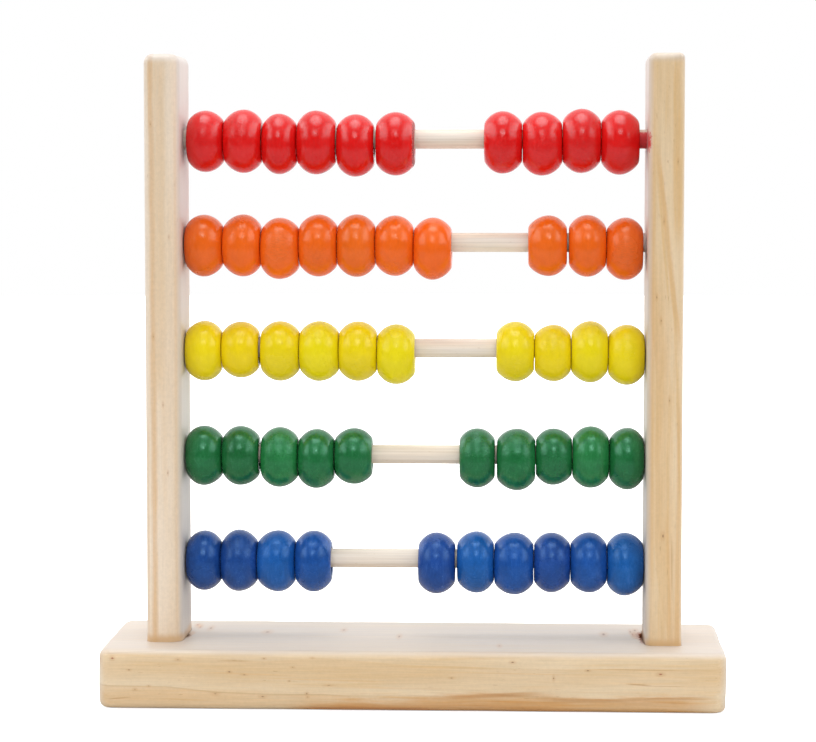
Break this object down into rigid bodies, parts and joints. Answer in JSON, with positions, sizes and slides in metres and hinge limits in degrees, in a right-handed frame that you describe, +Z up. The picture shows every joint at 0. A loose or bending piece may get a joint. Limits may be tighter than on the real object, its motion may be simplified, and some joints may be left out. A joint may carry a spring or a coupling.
{
  "type": "abacus counting frame",
  "caption": "Child's wooden counting frame: rounded plank base, two uprights and horizontal dowels that carry sliding painted beads in rainbow rows.",
  "frame": {"origin": "centre of the base's underside", "axes": "+Z up; +X along the dowels, to the right as the child sees it; -Y is the front"},
  "size_m": [0.2, 0.06, 0.2085],
  "materials": {
    "pine": "bare sanded softwood, matt",
    "birch": "bare sanded birch dowel, matt",
    "red_paint": "semi-gloss red paint on turned wood",
    "orange_paint": "semi-gloss orange paint on turned wood",
    "yellow_paint": "semi-gloss yellow paint on turned wood",
    "green_paint": "semi-gloss green stain on turned wood",
    "blue_paint": "semi-gloss blue stain on turned wood"
  },
  "bodies": {
    "frame": {"base": "pine", "left_post": "pine", "right_post": "pine", "red_rod": "birch", "orange_rod": "birch", "yellow_rod": "birch", "green_rod": "birch", "blue_rod": "birch"},
    "red_bead_01": {"red_bead_01": "red_paint"},
    "red_bead_02": {"red_bead_02": "red_paint"},
    "red_bead_03": {"red_bead_03": "red_paint"},
    "red_bead_04": {"red_bead_04": "red_paint"},
    "red_bead_05": {"red_bead_05": "red_paint"},
    "red_bead_06": {"red_bead_06": "red_paint"},
    "red_bead_07": {"red_bead_07": "red_paint"},
    "red_bead_08": {"red_bead_08": "red_paint"},
    "red_bead_09": {"red_bead_09": "red_paint"},
    "red_bead_10": {"red_bead_10": "red_paint"},
    "orange_bead_01": {"orange_bead_01": "orange_paint"},
    "orange_bead_02": {"orange_bead_02": "orange_paint"},
    "orange_bead_03": {"orange_bead_03": "orange_paint"},
    "orange_bead_04": {"orange_bead_04": "orange_paint"},
    "orange_bead_05": {"orange_bead_05": "orange_paint"},
    "orange_bead_06": {"orange_bead_06": "orange_paint"},
    "orange_bead_07": {"orange_bead_07": "orange_paint"},
    "orange_bead_08": {"orange_bead_08": "orange_paint"},
    "orange_bead_09": {"orange_bead_09": "orange_paint"},
    "orange_bead_10": {"orange_bead_10": "orange_paint"},
    "yellow_bead_01": {"yellow_bead_01": "yellow_paint"},
    "yellow_bead_02": {"yellow_bead_02": "yellow_paint"},
    "yellow_bead_03": {"yellow_bead_03": "yellow_paint"},
    "yellow_bead_04": {"yellow_bead_04": "yellow_paint"},
    "yellow_bead_05": {"yellow_bead_05": "yellow_paint"},
    "yellow_bead_06": {"yellow_bead_06": "yellow_paint"},
    "yellow_bead_07": {"yellow_bead_07": "yellow_paint"},
    "yellow_bead_08": {"yellow_bead_08": "yellow_paint"},
    "yellow_bead_09": {"yellow_bead_09": "yellow_paint"},
    "yellow_bead_10": {"yellow_bead_10": "yellow_paint"},
    "green_bead_01": {"green_bead_01": "green_paint"},
    "green_bead_02": {"green_bead_02": "green_paint"},
    "green_bead_03": {"green_bead_03": "green_paint"},
    "green_bead_04": {"green_bead_04": "green_paint"},
    "green_bead_05": {"green_bead_05": "green_paint"},
    "green_bead_06": {"green_bead_06": "green_paint"},
    "green_bead_07": {"green_bead_07": "green_paint"},
    "green_bead_08": {"green_bead_08": "green_paint"},
    "green_bead_09": {"green_bead_09": "green_paint"},
    "green_bead_10": {"green_bead_10": "green_paint"},
    "blue_bead_01": {"blue_bead_01": "blue_paint"},
    "blue_bead_02": {"blue_bead_02": "blue_paint"},
    "blue_bead_03": {"blue_bead_03": "blue_paint"},
    "blue_bead_04": {"blue_bead_04": "blue_paint"},
    "blue_bead_05": {"blue_bead_05": "blue_paint"},
    "blue_bead_06": {"blue_bead_06": "blue_paint"},
    "blue_bead_07": {"blue_bead_07": "blue_paint"},
    "blue_bead_08": {"blue_bead_08": "blue_paint"},
    "blue_bead_09": {"blue_bead_09": "blue_paint"},
    "blue_bead_10": {"blue_bead_10": "blue_paint"}
  },
  "joints": [
    {"name": "red_bead_01_slide", "type": "slide", "parent": "frame", "child": "red_bead_01", "axis": [1, 0, 0], "range_m": [-0.0009, 0.0223]},
    {"name": "red_bead_02_slide", "type": "slide", "parent": "frame", "child": "red_bead_02", "axis": [1, 0, 0], "range_m": [-0.0009, 0.0223]},
    {"name": "red_bead_03_slide", "type": "slide", "parent": "frame", "child": "red_bead_03", "axis": [1, 0, 0], "range_m": [-0.0009, 0.0223]},
    {"name": "red_bead_04_slide", "type": "slide", "parent": "frame", "child": "red_bead_04", "axis": [1, 0, 0], "range_m": [-0.0009, 0.0223]},
    {"name": "red_bead_05_slide", "type": "slide", "parent": "frame", "child": "red_bead_05", "axis": [1, 0, 0], "range_m": [-0.0009, 0.0223]},
    {"name": "red_bead_06_slide", "type": "slide", "parent": "frame", "child": "red_bead_06", "axis": [1, 0, 0], "range_m": [-0.0009, 0.0223]},
    {"name": "red_bead_07_slide", "type": "slide", "parent": "frame", "child": "red_bead_07", "axis": [1, 0, 0], "range_m": [-0.0223, 0.0021]},
    {"name": "red_bead_08_slide", "type": "slide", "parent": "frame", "child": "red_bead_08", "axis": [1, 0, 0], "range_m": [-0.0223, 0.0021]},
    {"name": "red_bead_09_slide", "type": "slide", "parent": "frame", "child": "red_bead_09", "axis": [1, 0, 0], "range_m": [-0.0223, 0.0021]},
    {"name": "red_bead_10_slide", "type": "slide", "parent": "frame", "child": "red_bead_10", "axis": [1, 0, 0], "range_m": [-0.0223, 0.0021]},
    {"name": "orange_bead_01_slide", "type": "slide", "parent": "frame", "child": "orange_bead_01", "axis": [1, 0, 0], "range_m": [0, 0.0246]},
    {"name": "orange_bead_02_slide", "type": "slide", "parent": "frame", "child": "orange_bead_02", "axis": [1, 0, 0], "range_m": [0, 0.0246]},
    {"name": "orange_bead_03_slide", "type": "slide", "parent": "frame", "child": "orange_bead_03", "axis": [1, 0, 0], "range_m": [0, 0.0246]},
    {"name": "orange_bead_04_slide", "type": "slide", "parent": "frame", "child": "orange_bead_04", "axis": [1, 0, 0], "range_m": [0, 0.0246]},
    {"name": "orange_bead_05_slide", "type": "slide", "parent": "frame", "child": "orange_bead_05", "axis": [1, 0, 0], "range_m": [0, 0.0246]},
    {"name": "orange_bead_06_slide", "type": "slide", "parent": "frame", "child": "orange_bead_06", "axis": [1, 0, 0], "range_m": [0, 0.0246]},
    {"name": "orange_bead_07_slide", "type": "slide", "parent": "frame", "child": "orange_bead_07", "axis": [1, 0, 0], "range_m": [0, 0.0246]},
    {"name": "orange_bead_08_slide", "type": "slide", "parent": "frame", "child": "orange_bead_08", "axis": [1, 0, 0], "range_m": [-0.0246, 0.0007]},
    {"name": "orange_bead_09_slide", "type": "slide", "parent": "frame", "child": "orange_bead_09", "axis": [1, 0, 0], "range_m": [-0.0246, 0.0007]},
    {"name": "orange_bead_10_slide", "type": "slide", "parent": "frame", "child": "orange_bead_10", "axis": [1, 0, 0], "range_m": [-0.0246, 0.0007]},
    {"name": "yellow_bead_01_slide", "type": "slide", "parent": "frame", "child": "yellow_bead_01", "axis": [1, 0, 0], "range_m": [0, 0.0263]},
    {"name": "yellow_bead_02_slide", "type": "slide", "parent": "frame", "child": "yellow_bead_02", "axis": [1, 0, 0], "range_m": [0, 0.0263]},
    {"name": "yellow_bead_03_slide", "type": "slide", "parent": "frame", "child": "yellow_bead_03", "axis": [1, 0, 0], "range_m": [0, 0.0263]},
    {"name": "yellow_bead_04_slide", "type": "slide", "parent": "frame", "child": "yellow_bead_04", "axis": [1, 0, 0], "range_m": [0, 0.0263]},
    {"name": "yellow_bead_05_slide", "type": "slide", "parent": "frame", "child": "yellow_bead_05", "axis": [1, 0, 0], "range_m": [0, 0.0263]},
    {"name": "yellow_bead_06_slide", "type": "slide", "parent": "frame", "child": "yellow_bead_06", "axis": [1, 0, 0], "range_m": [0, 0.0263]},
    {"name": "yellow_bead_07_slide", "type": "slide", "parent": "frame", "child": "yellow_bead_07", "axis": [1, 0, 0], "range_m": [-0.0263, 0]},
    {"name": "yellow_bead_08_slide", "type": "slide", "parent": "frame", "child": "yellow_bead_08", "axis": [1, 0, 0], "range_m": [-0.0263, 0]},
    {"name": "yellow_bead_09_slide", "type": "slide", "parent": "frame", "child": "yellow_bead_09", "axis": [1, 0, 0], "range_m": [-0.0263, 0]},
    {"name": "yellow_bead_10_slide", "type": "slide", "parent": "frame", "child": "yellow_bead_10", "axis": [1, 0, 0], "range_m": [-0.0263, 0]},
    {"name": "green_bead_01_slide", "type": "slide", "parent": "frame", "child": "green_bead_01", "axis": [1, 0, 0], "range_m": [0, 0.0283]},
    {"name": "green_bead_02_slide", "type": "slide", "parent": "frame", "child": "green_bead_02", "axis": [1, 0, 0], "range_m": [0, 0.0283]},
    {"name": "green_bead_03_slide", "type": "slide", "parent": "frame", "child": "green_bead_03", "axis": [1, 0, 0], "range_m": [0, 0.0283]},
    {"name": "green_bead_04_slide", "type": "slide", "parent": "frame", "child": "green_bead_04", "axis": [1, 0, 0], "range_m": [0, 0.0283]},
    {"name": "green_bead_05_slide", "type": "slide", "parent": "frame", "child": "green_bead_05", "axis": [1, 0, 0], "range_m": [0, 0.0283]},
    {"name": "green_bead_06_slide", "type": "slide", "parent": "frame", "child": "green_bead_06", "axis": [1, 0, 0], "range_m": [-0.0283, 0]},
    {"name": "green_bead_07_slide", "type": "slide", "parent": "frame", "child": "green_bead_07", "axis": [1, 0, 0], "range_m": [-0.0283, 0]},
    {"name": "green_bead_08_slide", "type": "slide", "parent": "frame", "child": "green_bead_08", "axis": [1, 0, 0], "range_m": [-0.0283, 0]},
    {"name": "green_bead_09_slide", "type": "slide", "parent": "frame", "child": "green_bead_09", "axis": [1, 0, 0], "range_m": [-0.0283, 0]},
    {"name": "green_bead_10_slide", "type": "slide", "parent": "frame", "child": "green_bead_10", "axis": [1, 0, 0], "range_m": [-0.0283, 0]},
    {"name": "blue_bead_01_slide", "type": "slide", "parent": "frame", "child": "blue_bead_01", "axis": [1, 0, 0], "range_m": [0, 0.0283]},
    {"name": "blue_bead_02_slide", "type": "slide", "parent": "frame", "child": "blue_bead_02", "axis": [1, 0, 0], "range_m": [0, 0.0283]},
    {"name": "blue_bead_03_slide", "type": "slide", "parent": "frame", "child": "blue_bead_03", "axis": [1, 0, 0], "range_m": [0, 0.0283]},
    {"name": "blue_bead_04_slide", "type": "slide", "parent": "frame", "child": "blue_bead_04", "axis": [1, 0, 0], "range_m": [0, 0.0283]},
    {"name": "blue_bead_05_slide", "type": "slide", "parent": "frame", "child": "blue_bead_05", "axis": [1, 0, 0], "range_m": [-0.0283, 0]},
    {"name": "blue_bead_06_slide", "type": "slide", "parent": "frame", "child": "blue_bead_06", "axis": [1, 0, 0], "range_m": [-0.0283, 0]},
    {"name": "blue_bead_07_slide", "type": "slide", "parent": "frame", "child": "blue_bead_07", "axis": [1, 0, 0], "range_m": [-0.0283, 0]},
    {"name": "blue_bead_08_slide", "type": "slide", "parent": "frame", "child": "blue_bead_08", "axis": [1, 0, 0], "range_m": [-0.0283, 0]},
    {"name": "blue_bead_09_slide", "type": "slide", "parent": "frame", "child": "blue_bead_09", "axis": [1, 0, 0], "range_m": [-0.0283, 0]},
    {"name": "blue_bead_10_slide", "type": "slide", "parent": "frame", "child": "blue_bead_10", "axis": [1, 0, 0], "range_m": [-0.0283, 0]}
  ],
  "couplings": [
    {"joint": "red_bead_02_slide", "follows": "red_bead_01_slide", "ratio": 1},
    {"joint": "red_bead_03_slide", "follows": "red_bead_01_slide", "ratio": 1},
    {"joint": "red_bead_04_slide", "follows": "red_bead_01_slide", "ratio": 1},
    {"joint": "red_bead_05_slide", "follows": "red_bead_01_slide", "ratio": 1},
    {"joint": "red_bead_06_slide", "follows": "red_bead_01_slide", "ratio": 1},
    {"joint": "red_bead_07_slide", "follows": "red_bead_10_slide", "ratio": 1},
    {"joint": "red_bead_08_slide", "follows": "red_bead_10_slide", "ratio": 1},
    {"joint": "red_bead_09_slide", "follows": "red_bead_10_slide", "ratio": 1},
    {"joint": "orange_bead_02_slide", "follows": "orange_bead_01_slide", "ratio": 1},
    {"joint": "orange_bead_03_slide", "follows": "orange_bead_01_slide", "ratio": 1},
    {"joint": "orange_bead_04_slide", "follows": "orange_bead_01_slide", "ratio": 1},
    {"joint": "orange_bead_05_slide", "follows": "orange_bead_01_slide", "ratio": 1},
    {"joint": "orange_bead_06_slide", "follows": "orange_bead_01_slide", "ratio": 1},
    {"joint": "orange_bead_07_slide", "follows": "orange_bead_01_slide", "ratio": 1},
    {"joint": "orange_bead_08_slide", "follows": "orange_bead_10_slide", "ratio": 1},
    {"joint": "orange_bead_09_slide", "follows": "orange_bead_10_slide", "ratio": 1},
    {"joint": "yellow_bead_02_slide", "follows": "yellow_bead_01_slide", "ratio": 1},
    {"joint": "yellow_bead_03_slide", "follows": "yellow_bead_01_slide", "ratio": 1},
    {"joint": "yellow_bead_04_slide", "follows": "yellow_bead_01_slide", "ratio": 1},
    {"joint": "yellow_bead_05_slide", "follows": "yellow_bead_01_slide", "ratio": 1},
    {"joint": "yellow_bead_06_slide", "follows": "yellow_bead_01_slide", "ratio": 1},
    {"joint": "yellow_bead_07_slide", "follows": "yellow_bead_10_slide", "ratio": 1},
    {"joint": "yellow_bead_08_slide", "follows": "yellow_bead_10_slide", "ratio": 1},
    {"joint": "yellow_bead_09_slide", "follows": "yellow_bead_10_slide", "ratio": 1},
    {"joint": "green_bead_02_slide", "follows": "green_bead_01_slide", "ratio": 1},
    {"joint": "green_bead_03_slide", "follows": "green_bead_01_slide", "ratio": 1},
    {"joint": "green_bead_04_slide", "follows": "green_bead_01_slide", "ratio": 1},
    {"joint": "green_bead_05_slide", "follows": "green_bead_01_slide", "ratio": 1},
    {"joint": "green_bead_06_slide", "follows": "green_bead_10_slide", "ratio": 1},
    {"joint": "green_bead_07_slide", "follows": "green_bead_10_slide", "ratio": 1},
    {"joint": "green_bead_08_slide", "follows": "green_bead_10_slide", "ratio": 1},
    {"joint": "green_bead_09_slide", "follows": "green_bead_10_slide", "ratio": 1},
    {"joint": "blue_bead_02_slide", "follows": "blue_bead_01_slide", "ratio": 1},
    {"joint": "blue_bead_03_slide", "follows": "blue_bead_01_slide", "ratio": 1},
    {"joint": "blue_bead_04_slide", "follows": "blue_bead_01_slide", "ratio": 1},
    {"joint": "blue_bead_05_slide", "follows": "blue_bead_10_slide", "ratio": 1},
    {"joint": "blue_bead_06_slide", "follows": "blue_bead_10_slide", "ratio": 1},
    {"joint": "blue_bead_07_slide", "follows": "blue_bead_10_slide", "ratio": 1},
    {"joint": "blue_bead_08_slide", "follows": "blue_bead_10_slide", "ratio": 1},
    {"joint": "blue_bead_09_slide", "follows": "blue_bead_10_slide", "ratio": 1}
  ]
}
